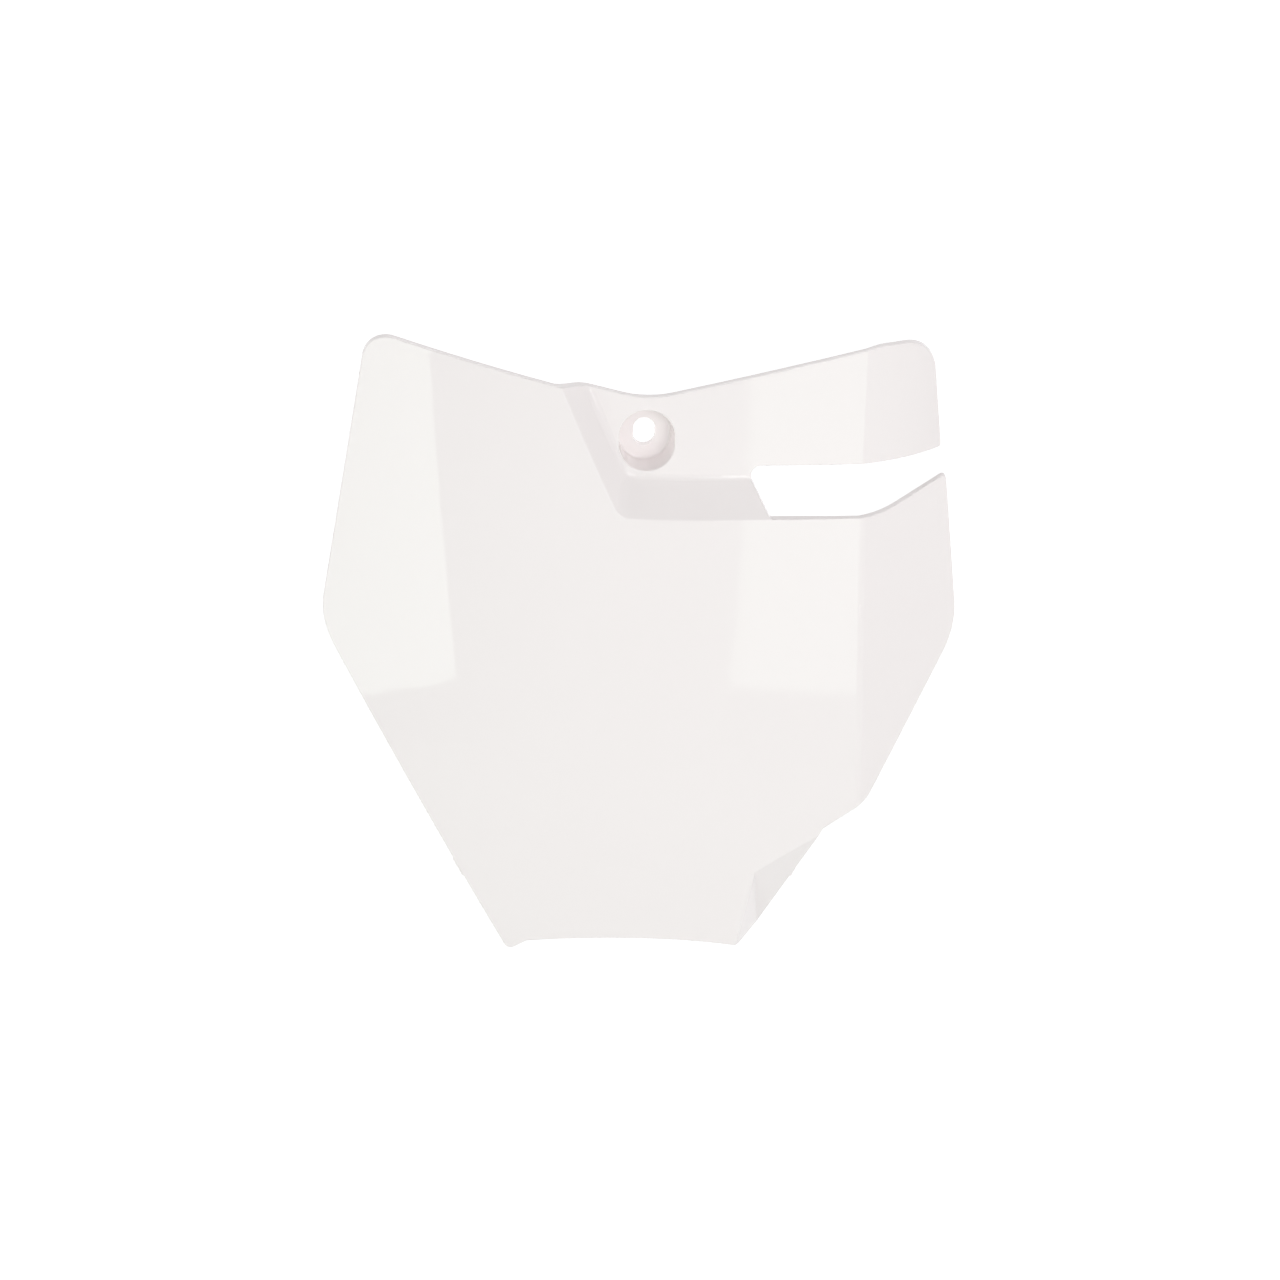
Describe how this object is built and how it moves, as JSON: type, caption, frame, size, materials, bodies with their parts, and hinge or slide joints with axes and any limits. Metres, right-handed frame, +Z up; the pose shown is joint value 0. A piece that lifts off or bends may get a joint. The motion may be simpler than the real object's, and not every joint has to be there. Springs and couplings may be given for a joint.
{
  "type": "motorbike number board",
  "caption": "White moulded front number board for an off-road motorbike, a thin curved shield with a recessed screw pocket, a side slot for a hose and rear holding lugs.",
  "frame": {"origin": "behind the middle of the screw pocket's mouth, on the flat back of the pocket", "axes": "+X to the right as the board is read, +Z up, the readable face looks toward -Y and the back of the pocket toward +Y"},
  "size_m": [0.2443, 0.0411, 0.2522],
  "materials": {
    "white_plastic": "moulded gloss"
  },
  "bodies": {
    "root": {"number_board": "white_plastic"}
  },
  "joints": []
}
